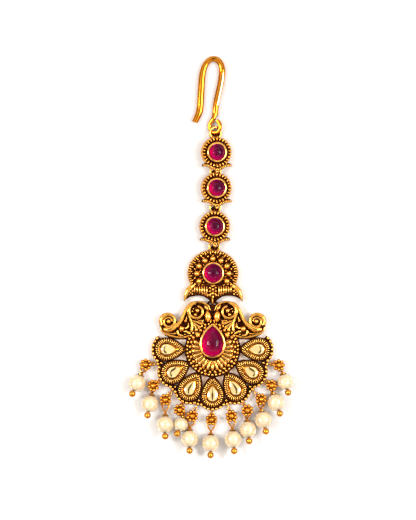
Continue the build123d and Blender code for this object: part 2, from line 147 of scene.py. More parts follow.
# link, ring x, ring y, disc x, disc y, roll to the right in degrees
SMALL_LINKS = [
    ("small_link_1", 0.69, 54.00, 0.80, 49.18, 11.0),
    ("small_link_2", 0.75, 44.43, 0.83, 40.28, 8.0),
    ("small_link_3", 0.65, 35.33, 0.45, 30.70, 5.0),
]
BIG_RING = (0.43, 25.60)
BIG_DISC = (0.18, 19.03)
PENDANT_RING = (0.0, 10.85)

# Hair hook's centre line, from its tip over the bend to the neck of its eye
HOOK_LINE = [
    (-4.45, 56.70),
    (-3.48, 58.73),
    (-3.08, 60.63),
    (-2.82, 65.03),
    (-2.62, 67.80),
    (-2.25, 69.90),
    (-1.62, 71.30),
    (-0.75, 72.20),
    (0.25, 72.55),
    (1.30, 72.20),
    (2.05, 71.20),
    (2.40, 69.80),
    (2.30, 67.90),
    (1.80, 65.33),
    (0.90, 61.35),
    (0.66, 58.40),
]

# Flat face along the hook's right arm, in pale gold as a painted highlight, from the bend down: x, y, z
HOOK_FACE = [
    (1.90, 71.60, 0.95), (2.42, 70.20, 1.06), (2.46, 68.20, 1.10), (2.10, 66.0, 1.10), (1.60, 63.6, 1.06),
    (1.08, 61.0, 1.0), (0.90, 59.2, 0.9),
]
# Hook's eye, from the neck round through the first link's ring and back up: x, y, z
HOOK_EYE = [
    (0.62, 58.9, 0.85), (0.20, 57.55, 0.95), (-0.55, 56.5, 0.70), (-0.75, 55.45, 0.66),
    (-0.35, 54.5, 0.80), (0.57, 54.10, 1.1), (1.50, 54.5, 1.45), (1.90, 55.45, 1.60),
    (1.65, 56.45, 1.5), (1.05, 57.25, 1.4),
]
# Pits in the hook: x, y, half length, turn in degrees
HOOK_PITS = [(2.50, 70.1, 0.42, 10), (1.28, 60.75, 0.22, 60), (0.95, 58.15, 0.42, 35)]

# drop, rim angle, flower x, flower y, pearl x, pearl y, pearl radius, pin heading, pin pitch
DROPS = [
    ("01", 195, -16.68, -3.80, -18.80, -8.45, 2.15, 245, 20),
    ("02", 210, -14.80, -9.03, -15.62, -13.60, 2.15, 258, 20),
    ("03", 225, -11.75, -12.55, -11.80, -18.75, 2.15, 270, 20),
    ("04", 240, -8.25, -15.08, -7.90, -18.75, 1.78, 248, 26),
    ("05", 255, -5.05, -16.62, -5.72, -22.35, 2.15, 270, 20),
    ("06", 270, -0.25, -17.50, -0.45, -23.45, 2.15, 269, 20),
    ("07", 285, 4.73, -16.62, 5.15, -22.45, 2.15, 275, 20),
    ("08", 300, 8.70, -15.20, 8.83, -20.00, 2.10, 276, 20),
    ("09", 315, 12.18, -12.45, 12.65, -17.60, 2.15, 283, 20),
    ("10", 330, 14.75, -8.98, 15.80, -13.25, 2.15, 290, 20),
    ("11", 345, 16.52, -3.93, 18.12, -8.15, 1.97, 286, 20),
]


# ---------------------------------------------------------------- places and lines


def at(x, y, z, turn=0.0):
    """Place in millimetres, turned about Z by degrees."""
    return Matrix.Translation((x, y, z)) @ Matrix.Rotation(radians(turn), 4, "Z")


def spoke(reach, angle, z=0.0):
    """Place at a distance and angle from the disc's centre, its X pointing outwards."""
    return at(reach * cos(radians(angle)), reach * sin(radians(angle)), z, angle)


def rolled(x, y, z, roll):
    """Place whose face is rolled towards +X."""
    return at(x, y, z) @ Matrix.Rotation(radians(roll), 4, "Y")


def on_edge(x, y, z, heading):
    """Place for a loop that stands on edge along a heading."""
    return at(x, y, z, heading) @ Matrix.Rotation(pi / 2, 4, "X")


def arc_points(radius, turns):
    """Points of an arc about the origin, one at each angle in degrees."""
    return [(radius * cos(radians(turn)), radius * sin(radians(turn))) for turn in turns]


def smooth_line(points, steps=6):
    """Smooth line through points, with steps between each two."""
    stops = [Vector((*p, 0.0)) if len(p) == 2 else Vector(p) for p in points]
    ends = [2 * stops[0] - stops[1], *stops, 2 * stops[-1] - stops[-2]]
    line = []
    for a, b, c, d in zip(ends, ends[1:], ends[2:], ends[3:]):
        for step in range(steps):
            t = step / steps
            line.append(0.5 * (2 * b + (c - a) * t + (2 * a - 5 * b + 4 * c - d) * t**2
                               + (3 * b - a - 3 * c + d) * t**3))
    return [*line, stops[-1]]


def spiral_line(x, y, start_r, end_r, start, turn, z, steps=34):
    """Spiral about a centre, by angle in degrees."""
    line = []
    for step in range(steps + 1):
        t = step / steps
        angle = radians(start + turn * t)
        reach = start_r + (end_r - start_r) * t
        line.append(Vector((x + reach * cos(angle), y + reach * sin(angle), z)))
    return line


def teardrop_point(angle, radius, length, shoulder=12.0):
    """Point of a teardrop outline: round end about the origin, point at (length, 0)."""
    lean = radians(shoulder)
    start = pi / 2 - lean
    if abs(angle) >= start:
        return Vector((radius * cos(angle), radius * sin(angle), 0.0))
    reach = (length**2 - radius**2) / (2 * (radius - length * sin(lean)))
    centre_x, centre_y = -reach * sin(lean), -reach * cos(lean)
    tip = atan2(-centre_y, length - centre_x)
    side = tip + (start - tip) * abs(angle) / start
    y = centre_y + (radius + reach) * sin(side)
    return Vector((centre_x + (radius + reach) * cos(side), y if angle > 0 else -y, 0.0))


def evenly_round(radius, length, count, shoulder=12.0):
    """Points evenly spaced round a teardrop, each with its heading in degrees."""
    fine = [teardrop_point(-pi + tau * step / 720, radius, length, shoulder) for step in range(721)]
    runs = [(b - a).length for a, b in zip(fine, fine[1:])]
    pitch = sum(runs) / count
    spots, gone = [], 0.5 * pitch
    for a, b, run in zip(fine, fine[1:], runs):
        gone += run
        if gone >= pitch and len(spots) < count:
            gone -= pitch
            spots.append(((b.x, b.y), degrees(atan2(b.y - a.y, b.x - a.x))))
    return spots


# ---------------------------------------------------------------- shapes


def join(work, shape):
    """Move a finished shape into work."""
    mesh = bpy.data.meshes.new("shape")
    bmesh.ops.recalc_face_normals(shape, faces=shape.faces)
    shape.to_mesh(mesh)
    shape.free()
    work.from_mesh(mesh)
    bpy.data.meshes.remove(mesh)


def edges_of(verts):
    """Every edge that touches one of the points."""
    return list({edge for vert in verts for edge in vert.link_edges})


def ball(work, place, radius, stretch=(1.0, 1.0, 1.0), around=12, rings=8):
    """Ball, or a grain stretched along the place's own axes."""
    shape = bmesh.new()
    bmesh.ops.create_uvsphere(
        shape, u_segments=around, v_segments=rings, radius=radius,
        matrix=place @ Matrix.Diagonal((*stretch, 1.0)),
    )
    join(work, shape)


def hoop(work, place, radius, wire, steps=28, sides=10):
    """Closed ring of round wire in the place's own XY plane."""
    shape = bmesh.new()
    section = place @ Matrix.Translation((radius, 0, 0)) @ Matrix.Rotation(pi / 2, 4, "X")
    verts = bmesh.ops.create_circle(shape, segments=sides, radius=wire, matrix=section)["verts"]
    bmesh.ops.spin(
        shape, geom=verts + edges_of(verts), cent=place.translation, axis=place.col[2].xyz,
        angle=tau, steps=steps, use_merge=True,
    )
    join(work, shape)


def turned(work, place, profile, steps=40):
    """Solid turned about the place's Z from a profile of (radius, height)."""
    shape = bmesh.new()
    verts = [shape.verts.new((r, 0.0, z)) for r, z in profile]
    edges = [shape.edges.new(pair) for pair in zip(verts, verts[1:])]
    bmesh.ops.spin(
        shape, geom=verts + edges, cent=(0, 0, 0), axis=(0, 0, 1), angle=tau, steps=steps, use_merge=True,
    )
    bmesh.ops.remove_doubles(shape, verts=shape.verts, dist=1e-5)
    bmesh.ops.transform(shape, matrix=place, verts=shape.verts)
    join(work, shape)


def grown(work, verts, frames):
    """Extrude an outline through frames and close both ends."""
    edges = [edge for edge in edges_of(verts) if all(vert in verts for vert in edge.verts)]
    for before, after in zip(frames, frames[1:]):
        fresh = bmesh.ops.extrude_edge_only(work, edges=edges)["geom"]
        edges = [item for item in fresh if isinstance(item, bmesh.types.BMEdge)]
        verts = [item for item in fresh if isinstance(item, bmesh.types.BMVert)]
        bmesh.ops.transform(work, matrix=after @ before.inverted(), verts=verts)
    bmesh.ops.contextual_create(work, geom=edges)


def bar(work, line, sizes, sides=8, lift=1.0):
    """Round bar swept along a line. sizes are its half widths, spread evenly over the line."""
    count = len(line) - 1
    frames = []
    for index, point in enumerate(line):
        ahead = (line[min(index + 1, count)] - line[max(index - 1, 0)]).normalized()
        across = ahead.cross(Vector((0, 0, 1))).normalized()
        share = index / count * (len(sizes) - 1)
        low = min(int(share), len(sizes) - 2)
        size = sizes[low] + (sizes[low + 1] - sizes[low]) * (share - low)
        turn = Matrix((across, across.cross(ahead), ahead)).transposed().to_4x4()
        frames.append(Matrix.Translation(point) @ turn @ Matrix.Diagonal((size, size * lift, size, 1)))
    shape = bmesh.new()
    made = bmesh.ops.create_circle(shape, segments=sides, radius=1.0, matrix=frames[0], cap_ends=True)
    grown(shape, made["verts"], frames)
    join(work, shape)


def teardrop_solid(work, place, radius, length, profile, shoulder=12.0, segments=44, lean=0.0):
    """Solid of teardrop section. profile lists (length share, width share, height), bottom to top.

    A section may add how steeply it dips towards the point. lean moves smaller sections along the axis.
    """
    shape = bmesh.new()
    verts = bmesh.ops.create_circle(shape, segments=segments, radius=1.0, cap_ends=True)["verts"]
    for vert in verts:
        vert.co = teardrop_point(atan2(vert.co.y, vert.co.x), radius, length, shoulder)
    frames = []
    for along, across, z, *dip in profile:
        shift = Matrix.Translation((lean * (profile[0][0] - along), 0, z))
        if dip:
            shift[2][0] = -dip[0]
        frames.append(place @ shift @ Matrix.Diagonal((along, across, 1, 1)))
    bmesh.ops.transform(shape, matrix=frames[0], verts=verts)
    grown(shape, verts, frames)
    join(work, shape)


def slab(work, place, outline, low, high, bevel=0.12):
    """Flat plate with a rounded upper edge, from an outline."""
    shape = bmesh.new()
    face = shape.faces.new([shape.verts.new(place @ Vector((x, y, low))) for x, y in outline])
    fresh = bmesh.ops.extrude_face_region(shape, geom=[face])["geom"]
    top = [item for item in fresh if isinstance(item, bmesh.types.BMVert)]
    bmesh.ops.translate(shape, verts=top, vec=place.col[2].xyz * (high - low))
    edges = [edge for edge in edges_of(top) if all(vert in top for vert in edge.verts)]
    bmesh.ops.bevel(shape, geom=edges, offset=bevel, segments=2, profile=0.5, affect="EDGES", material=-1)
    join(work, shape)


# ---------------------------------------------------------------- finishes


def new_finish(name):
    """Material with its node tree and its main shader."""
    finish = bpy.data.materials.new(name)
    finish.use_nodes = True
    tree = finish.node_tree
    return finish, tree, tree.nodes["Principled BSDF"]


def ramp(tree, source, stops):
    """Colours at places from 0 to 1, read from a source."""
    node = tree.nodes.new("ShaderNodeValToRGB")
    node.color_ramp.elements[0].position = stops[0][0]
    node.color_ramp.elements[0].color = (*stops[0][1], 1)
    node.color_ramp.elements[1].position = stops[-1][0]
    node.color_ramp.elements[1].color = (*stops[-1][1], 1)
    for place, colour in stops[1:-1]:
        node.color_ramp.elements.new(place).color = (*colour, 1)
    tree.links.new(source, node.inputs["Fac"])
    return node


def cast_grain(tree, shader, scale, depth, rough_low, rough_high):
    """Fine uneven surface of worked metal: small dents in the bump and patches in the polish.

    Returns the grain that both follow.
    """
    where = tree.nodes.new("ShaderNodeTexCoord")
    grain = tree.nodes.new("ShaderNodeTexNoise")
    grain.inputs["Scale"].default_value = scale
    grain.inputs["Detail"].default_value = 3.0
    tree.links.new(where.outputs["Object"], grain.inputs["Vector"])
    bump = tree.nodes.new("ShaderNodeBump")
    bump.inputs["Strength"].default_value = 0.6
    bump.inputs["Distance"].default_value = depth
    tree.links.new(grain.outputs["Fac"], bump.inputs["Height"])
    tree.links.new(bump.outputs["Normal"], shader.inputs["Normal"])
    polish = tree.nodes.new("ShaderNodeMapRange")
    polish.inputs["To Min"].default_value = rough_low
    polish.inputs["To Max"].default_value = rough_high
    tree.links.new(grain.outputs["Fac"], polish.inputs["Value"])
    tree.links.new(polish.outputs["Result"], shader.inputs["Roughness"])
    return grain


def make_gold(name, stops, reach, lacquer, scale, depth, rough_low, rough_high):
    """Lacquered gold whose colour follows how open the surface is: darker in corners, creases and under other
    parts, which is painted shade, and on the antique gold also its real patina in the hollows.

    stops are (openness, colour), reach is how far round a spot counts, scale and depth are its dents'.
    """
    finish, tree, shader = new_finish(name)
    shader.inputs["Metallic"].default_value = 1.0
    shader.inputs["Coat Weight"].default_value = lacquer
    shader.inputs["Coat IOR"].default_value = 1.5
    shader.inputs["Coat Roughness"].default_value = rough_low
    cast_grain(tree, shader, scale, depth, rough_low, rough_high)
    # Ambient occlusion drives the base colour: painted shade in corners and creases, besides real patina on
    # the antique gold.
    open_sky = tree.nodes.new("ShaderNodeAmbientOcclusion")
    open_sky.samples = 8
    open_sky.inputs["Distance"].default_value = reach
    patina_and_painted_shade = ramp(tree, open_sky.outputs["AO"], stops)
    tree.links.new(patina_and_painted_shade.outputs["Color"], shader.inputs["Base Color"])
    return finish


def make_recess():
    """Oxidised ground between the raised work, with flecks of bare gold."""
    finish, tree, shader = new_finish("oxidised_recess")
    shader.inputs["Metallic"].default_value = 1.0
    grain = cast_grain(tree, shader, scale=2500.0, depth=0.00008, rough_low=0.45, rough_high=0.7)
    colour = ramp(tree, grain.outputs["Fac"], [
        (0.45, (0.018, 0.004, 0.002)),
        (0.62, (0.07, 0.015, 0.003)),
        (0.78, (0.32, 0.12, 0.015)),
    ])
    tree.links.new(colour.outputs["Color"], shader.inputs["Base Color"])
    return finish


def make_ruby():
    """Crimson cabochon over a foil, painted darker in the middle and lighter towards its edge, most of all at
    the lower left: a painted glow of light through the stone.
    """
    finish, tree, shader = new_finish("ruby")
    edge = tree.nodes.new("ShaderNodeAttribute")
    edge.attribute_name = "painted_glow_share"
    # Painted glow: the base colour brightens from the dark spot out to the edge.
    depth = ramp(tree, edge.outputs["Fac"], [
        (0.15, (0.13, 0.0, 0.045)),
        (0.50, (0.25, 0.0, 0.080)),
        (0.78, (0.58, 0.0, 0.155)),
        (0.95, (0.92, 0.0, 0.230)),
    ])
    tree.links.new(depth.outputs["Color"], shader.inputs["Base Color"])
    shader.inputs["Transmission Weight"].default_value = 0.75
    shader.inputs["Roughness"].default_value = 0.06
    shader.inputs["IOR"].default_value = 1.23
    return finish


def make_foil():
    """Rosy foil that the stones are set over."""
    finish, _, shader = new_finish("stone_foil")
    shader.inputs["Metallic"].default_value = 1.0
    shader.inputs["Base Color"].default_value = (0.90, 0.20, 0.60, 1)
    shader.inputs["Roughness"].default_value = 0.35
    return finish


def make_pearl():
    """Cream nacre: a pale body under a bright golden lustre."""
    finish, tree, shader = new_finish("pearl_nacre")
    where = tree.nodes.new("ShaderNodeTexCoord")
    cloud = tree.nodes.new("ShaderNodeTexNoise")
    cloud.inputs["Scale"].default_value = 300.0
    cloud.inputs["Detail"].default_value = 2.0
    tree.links.new(where.outputs["Object"], cloud.inputs["Vector"])
    tint = ramp(tree, cloud.outputs["Fac"], [
        (0.3, (0.66, 0.57, 0.46)),
        (0.7, (0.72, 0.63, 0.52)),
    ])
    tree.links.new(tint.outputs["Color"], shader.inputs["Base Color"])
    shader.inputs["Subsurface Weight"].default_value = 0.9
    shader.inputs["Subsurface Radius"].default_value = (1.0, 0.67, 0.40)
    shader.inputs["Subsurface Scale"].default_value = 0.005
    shader.inputs["Roughness"].default_value = 0.30
    shader.inputs["IOR"].default_value = 1.7
    shader.inputs["Coat Weight"].default_value = 1.0
    shader.inputs["Coat Roughness"].default_value = 0.13
    shader.inputs["Coat IOR"].default_value = 1.8
    shader.inputs["Coat Tint"].default_value = (0.98, 0.89, 0.72, 1)
    return finish


# Every gold below is darkened in its corners by ambient occlusion: painted shade, besides the antique gold's
# real patina.
ANTIQUE = make_gold(
    "antique_gold",
    [(0.22, (0.03, 0.005, 0.001)), (0.50, (0.28, 0.075, 0.003)), (0.84, (0.89, 0.44, 0.052))],
    reach=0.00045, lacquer=1.0, scale=1800.0, depth=0.00003, rough_low=0.15, rough_high=0.30,
)
POLISHED = make_gold(
    "polished_gold",
    [(0.15, (0.04, 0.010, 0.001)), (0.50, (0.38, 0.12, 0.003)), (0.88, (0.72, 0.29, 0.024))],
    reach=0.0005, lacquer=0.25, scale=900.0, depth=0.00001, rough_low=0.08, rough_high=0.14,
)
BRIGHT = make_gold(
    "bright_bezel_gold",
    [(0.10, (0.12, 0.030, 0.002)), (0.50, (0.50, 0.165, 0.010)), (0.85, (0.95, 0.50, 0.10))],
    reach=0.00025, lacquer=0.5, scale=900.0, depth=0.000005, rough_low=0.09, rough_high=0.15,
)
# Pale gold for the domes' tops and the hook's flat face: a painted highlight.
PALE_HIGHLIGHT_GOLD = make_gold(
    "painted_highlight_gold",
    [(0.20, (0.24, 0.08, 0.006)), (0.60, (0.76, 0.31, 0.025)), (0.92, (1.0, 0.76, 0.34))],
    reach=0.0006, lacquer=0.5, scale=900.0, depth=0.000003, rough_low=0.04, rough_high=0.07,
)
HOOK_GOLD = make_gold(
    "deep_hook_gold",
    [(0.15, (0.04, 0.010, 0.001)), (0.50, (0.38, 0.12, 0.003)), (0.88, (0.68, 0.24, 0.012))],
    reach=0.0005, lacquer=0.15, scale=900.0, depth=0.00001, rough_low=0.08, rough_high=0.14,
)
RECESS = make_recess()
RUBY = make_ruby()
FOIL = make_foil()
PEARL = make_pearl()


# ---------------------------------------------------------------- finishing a piece


def finish_piece(name, nodes, coats):
    """Join the shapes of each coat into one piece that rides on the jewel and stands for nodes."""
    mesh = bpy.data.meshes.new(name)
    whole = bmesh.new()
    for index, (finish, work) in enumerate(coats):
        mesh.materials.append(finish)
        bmesh.ops.recalc_face_normals(work, faces=work.faces)
        for face in work.faces:
            face.material_index = index
            face.smooth = True
        layer = bpy.data.meshes.new("layer")
        work.to_mesh(layer)
        work.free()
        whole.from_mesh(layer)
        bpy.data.meshes.remove(layer)
    bmesh.ops.scale(whole, vec=(MM, MM, MM), verts=whole.verts)
    whole.to_mesh(mesh)
    whole.free()
    mesh.set_sharp_from_angle(angle=radians(50))
    piece = bpy.data.objects.new(name, mesh)
    bpy.context.scene.collection.objects.link(piece)
    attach(piece, "root")
    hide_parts(*nodes)
    return piece


# ---------------------------------------------------------------- hair hook and links


def make_hair_hook():
    """Wire with its bent eye, a flat face in pale gold along its right arm as a painted highlight, and three
    small pits.
    """
    gold, highlight_face, dark = bmesh.new(), bmesh.new(), bmesh.new()
    line = [Vector((p.x, p.y, HOOK_WIRE)) for p in smooth_line(HOOK_LINE)]
    sizes = [0.78, 0.86, 0.90, 0.88, 0.84, 0.76, 0.70, 0.70, 0.76, 0.80, 0.84, 0.84, 0.78, 0.76]
    bar(gold, line, sizes, sides=24, lift=0.86)
    # Pale flat face along the right arm: a painted highlight.
    bar(highlight_face, smooth_line(HOOK_FACE), [0.28, 0.50, 0.54, 0.54, 0.54, 0.50, 0.30], sides=16, lift=0.75)
    bar(gold, smooth_line(HOOK_EYE), [0.66, 0.62, 0.54, 0.50, 0.48, 0.46, 0.47, 0.50, 0.58, 0.50], sides=16)
    for x, y, length, turn in HOOK_PITS:
        ball(dark, at(x, y, HOOK_PIT_Z, turn), 1.0, (length, 0.11, 0.12), 8, 6)
    coats = [(HOOK_GOLD, gold), (PALE_HIGHLIGHT_GOLD, highlight_face), (RECESS, dark)]
    finish_piece("hair_hook_wire", ["hair_hook"], coats)


def setting(bright, foil, place, radius):
    """Bezel: a flared wall round a stone, with a foil under it."""
    low, top = SEAT_LOW, SEAT_TOP
    turned(foil, place, [(0, low), (radius + 0.05, low), (radius + 0.05, low + 0.06), (0, low + 0.06)])
    wall = [
        (0.80, low), (0.74, low + 0.30), (0.62, low + 0.48), (0.58, top - 0.35), (0.54, top - 0.20),
        (0.46, top - 0.11), (0.34, top - 0.05), (0.22, top - 0.01), (0.15, top), (0.10, top - 0.06),
        (0.08, low), (0.80, low),
    ]
    turned(bright, place, [(radius + out, z) for out, z in wall], 48)


def mark_painted_glow(stone, place, radius, length=0.0):
    """Write on each point, as a share of the way to the edge, how far it lies from the darkest spot of the
    painted glow.

    The darkest spot is up and right of the stone's middle, so the painted glow is strongest at the lower left
    edge.
    """
    layer = stone.verts.layers.float.new("painted_glow_share")
    back = place.inverted()
    for vert in stone.verts:
        spot = back @ (vert.co - Vector((0.20 * radius, 0.22 * radius, 0.0)))
        spot.z = 0.0
        outline = Vector((radius, 0, 0))
        if length:
            fine = [teardrop_point(radians(angle), radius, length, 0.0) for angle in range(-180, 181, 4)]
            outline = max(fine, key=lambda point: point.normalized().dot(spot))
        vert[layer] = 0.85 * spot.length / outline.length


def make_round_stone(name, node, place, radius, top):
    """Cabochon with a short straight girdle."""
    stone = bmesh.new()
    profile = [
        (0, STONE_LOW), (radius - 0.1, STONE_LOW), (radius, STONE_LOW + 0.1), (radius, STONE_GIRDLE - 0.02),
    ]
    for step in range(1, 13):
        rise = radians(90 * step / 12)
        profile.append((radius * cos(rise), STONE_GIRDLE + (top - STONE_GIRDLE) * sin(rise)))
    turned(stone, place, profile)
    mark_painted_glow(stone, place, radius)
    finish_piece(name, [node], [(RUBY, stone)])


def wing_ribs(gold, place, side):
    """Bold ribs along a wing, like a twist of rope, from the middle out to its blunt end."""
    spine = smooth_line([(0.32, -4.38), (1.10, -3.92), (2.10, -3.47), (3.0, -3.27), (3.55, -3.32)], 12)
    core = [place @ Vector((side * p.x, p.y, COLLAR_LOW + 0.42)) for p in spine[::6]]
    bar(gold, core, [0.30, 0.34, 0.34, 0.26], sides=8)
    runs = [(b - a).length for a, b in zip(spine, spine[1:])]
    pitch, gone, count = sum(runs) / 7.6, 0.0, 0
    for a, b, run in zip(spine, spine[1:], runs):
        if gone >= count * pitch:
            heading = degrees(atan2(b.y - a.y, b.x - a.x))
            rib = place @ at(side * a.x, a.y, COLLAR_LOW + 0.52, side * (heading + 72))
            ball(gold, rib, 1.0, (0.50 - 0.012 * count, 0.235, 0.46), 10, 8)
            count += 1
        gone += run


def wing_outline(span):
    """Collar of two wings that meet in a point below the disc."""
    half = [
        (0.80 * span, -2.65), (0.98 * span, -3.00), (span, -3.45), (0.90 * span, -3.62), (0.72 * span, -3.62),
        (0.50 * span, -3.90), (0.33 * span, -4.25), (0.14 * span, -4.62), (0.0, -4.75),
    ]
    return half + [(-x, y) for x, y in reversed(half[:-1])]


def make_small_link(index):
    """Ribbed disc with a bezel over a winged collar, its ring above and its loop round the next ring."""
    name, ring_x, ring_y, disc_x, disc_y, roll = SMALL_LINKS[index]
    rings = [(x, y) for _, x, y, _, _, _ in SMALL_LINKS] + [BIG_RING]
    next_x, next_y = rings[index + 1]
    lift = LINK_DISC_R * sin(radians(roll))
    place = rolled(disc_x, disc_y, lift, roll)
    gold, wall, dark, bright, foil = (bmesh.new() for _ in range(5))
    turned(wall, place, [(0, 0.03), (3.5, 0.03), (3.5, 0.4), (0, 0.4)])
    turned(dark, place, [(0, 0.35), (3.6, 0.35), (3.6, 1.22), (2.4, 1.22), (0, 1.22)])
    turned(wall, place, [
        (3.3, 0.0), (3.78, 0.0), (3.86, 0.14), (3.86, 0.5), (3.74, 0.66), (3.76, 0.82),
        (3.74, 1.1), (3.64, 1.30), (3.45, 1.30), (3.3, 1.1), (3.3, 0.0),
    ])
    for number in range(LINK_RIBS):
        rib = place @ spoke(3.38, 360 * (number + 0.5) / LINK_RIBS, 1.50)
        ball(gold, rib, 1.0, (0.60, 0.26, 0.42), 8, 6)
    setting(bright, foil, place, STONE_R)
    slab(wall, place, wing_outline(COLLAR_SPAN), COLLAR_LOW - 0.2, COLLAR_LOW + 0.1, 0.03)
    slab(dark, place, wing_outline(COLLAR_SPAN), COLLAR_LOW + 0.05, COLLAR_LOW + 0.3)
    for side in (-1, 1):
        wing_ribs(gold, place, side)
    for x, y, radius in ((0, -3.55, 0.28), (0, -4.22, 0.30), (0, -4.85, 0.42)):
        ball(gold, place @ at(x, y, COLLAR_LOW + 0.6), radius)
    if index == 0:
        hoop(gold, rolled(ring_x, ring_y, EYE_Z, EYE_TILT), TOP_RING_R, TOP_RING_WIRE)
    else:
        hoop(gold, rolled(ring_x, ring_y, RING_Z, 0), RING_R, RING_WIRE)
    # Flat dark ball under the ring: a painted shadow where the floor shows through the ring.
    ball(dark, at(ring_x, ring_y - 0.45, 0.55), 1.0, (1.05, 0.95, 0.4))
    bridge = [Vector((disc_x + x, disc_y + 3.55, RING_Z)) for x in (-0.6, 0.6)]
    bar(gold, bridge, [0.5, 0.5])
    loop_r = max(LOOP_R, COLLAR_LOW + lift - RING_Z)
    hoop(gold, on_edge(next_x, next_y + LOOP_REACH, RING_Z, 90), loop_r, LOOP_WIRE)
    coats = [(ANTIQUE, gold), (POLISHED, wall), (RECESS, dark), (BRIGHT, bright), (FOIL, foil)]
    finish_piece(f"{name}_metal", [name], coats)
    make_round_stone(f"ruby_{index + 1}_stone", f"ruby_{index + 1}", place, STONE_R, STONE_TOP)


def make_large_link():
    """Ribbed disc ringed with granules, over a collar with two horns."""
    disc_x, disc_y = BIG_DISC
    ring_x, ring_y = BIG_RING
    loop_x, loop_y = PENDANT_RING
    place = at(disc_x, disc_y, 0)
    oval = place @ Matrix.Translation((-0.08, -0.12, 0)) @ Matrix.Diagonal((1.0, BIG_OVAL, 1.0, 1.0))
    gold, dark, bright, foil = bmesh.new(), bmesh.new(), bmesh.new(), bmesh.new()
    turned(bright, oval, [(0, 0.03), (6.05, 0.03), (6.05, 0.4), (0, 0.4)], 56)
    turned(dark, oval, [(0, 0.35), (6.1, 0.35), (6.1, 1.25), (0, 1.25)], 56)
    turned(gold, oval, [
        (5.95, 0.0), (6.34, 0.0), (6.42, 0.12), (6.38, 1.2), (6.28, 1.38), (6.1, 1.36),
        (5.98, 1.1), (5.95, 0.0),
    ], 56)
    for index in range(BIG_RIBS):
        angle = 360 * (index + 0.5) / BIG_RIBS
        ball(gold, oval @ spoke(5.66, angle, 1.5), 1.0, (0.66, 0.27, 0.42), 10, 8)
        ball(gold, oval @ spoke(5.90, angle + 180 / BIG_RIBS, 1.48), 1.0, (0.45, 0.27, 0.38), 10, 8)
    for index in range(GRANULES):
        angle = GRANULE_START + GRANULE_STEP * index
        ball(gold, oval @ spoke(4.0, angle, 1.75), 0.76, around=16, rings=10)
        ball(gold, oval @ spoke(3.05, angle, 1.35), 1.0, (0.45, 0.14, 0.25), 8, 6)
        ball(gold, oval @ spoke(4.9, angle, 1.35), 1.0, (0.35, 0.18, 0.25), 8, 6)
        ball(gold, oval @ spoke(4.72, angle + 15, 1.3), 0.30, around=8, rings=6)
        ball(gold, oval @ spoke(3.25, angle + 15, 1.25), 0.24, around=8, rings=6)
    setting(bright, foil, place, BIG_STONE_R)
    half = [
        (4.9, -2.6), (6.0, -3.2), (6.75, -4.1), (7.15, -5.2), (7.42, -6.5), (7.33, -7.25), (6.7, -6.5),
        (5.7, -5.95), (4.4, -5.62), (3.2, -5.65), (2.2, -5.95), (1.3, -6.5), (0.6, -7.15), (0.0, -7.75),
    ]
    outline = half + [(-x, y) for x, y in reversed(half[:-1])]
    slab(bright, place, outline, 0.6, 1.2, 0.03)
    slab(dark, place, outline, 1.15, COLLAR_LOW + 0.15)
    for side in (-1, 1):
        for step in range(6):
            rib = place @ at(side * (1.52 + 0.60 * step) - 0.1, -4.32 + 0.05 * step, COLLAR_LOW + 0.35, 90)
            ball(bright, rib, 1.0, (1.25 - 0.06 * step, 0.27, 0.5), 10, 8)
        horn = [(4.7, -2.9), (5.5, -3.45), (6.3, -4.35), (6.85, -5.5), (7.2, -6.9)]
        line = smooth_line([(disc_x + side * x, disc_y + y, COLLAR_LOW + 0.2) for x, y in horn])
        bar(gold, line, [0.3, 0.62, 0.68, 0.55, 0.12], lift=0.7)
        for x, y, radius in ((5.15, -4.45, 0.36), (5.65, -4.85, 0.26), (5.2, -5.2, 0.28), (6.0, -5.35, 0.2)):
            ball(gold, place @ at(side * x, y, COLLAR_LOW + 0.3), radius)
        for x, y, turn in ((2.7, -2.95, 20), (3.6, -2.8, 40), (4.4, -2.7, 50)):
            ball(gold, place @ at(side * x, y, COLLAR_LOW + 0.2, side * turn), 1.0, (0.42, 0.16, 0.24), 8, 6)
    for x, y, radius in (
        (0, -3.25, 0.24), (0, -4.08, 0.42), (0, -4.98, 0.44), (0, -5.93, 0.40), (0, -6.6, 0.22),
        (-0.72, -4.5, 0.34), (0.72, -4.5, 0.34), (-0.86, -5.48, 0.34), (0.86, -5.48, 0.34),
        (-0.66, -3.7, 0.30), (0.66, -3.7, 0.30), (-0.4, -3.15, 0.2), (0.4, -3.15, 0.2),
    ):
        ball(gold, place @ at(x - 0.1, y, COLLAR_LOW + 0.35), radius)
    ball(gold, place @ at(-0.1, -7.05, COLLAR_LOW + 0.25), 1.0, (0.2, 0.5, 0.22), 8, 6)
    hoop(gold, rolled(ring_x, ring_y, RING_Z, 0), RING_R, RING_WIRE)
    # Flat dark ball under the ring: a painted shadow where the floor shows through the ring.
    ball(dark, at(ring_x, ring_y - 0.45, 0.55), 1.0, (1.05, 0.95, 0.4))
    hoop(gold, on_edge(loop_x, loop_y + LOOP_REACH, RING_Z, 90), LOOP_R + 0.1, LOOP_WIRE)
    coats = [(ANTIQUE, gold), (RECESS, dark), (BRIGHT, bright), (FOIL, foil)]
    finish_piece("large_link_metal", ["large_link"], coats)
    make_round_stone("ruby_large_stone", "ruby_large", place, BIG_STONE_R, BIG_STONE_TOP)


# ---------------------------------------------------------------- pendant


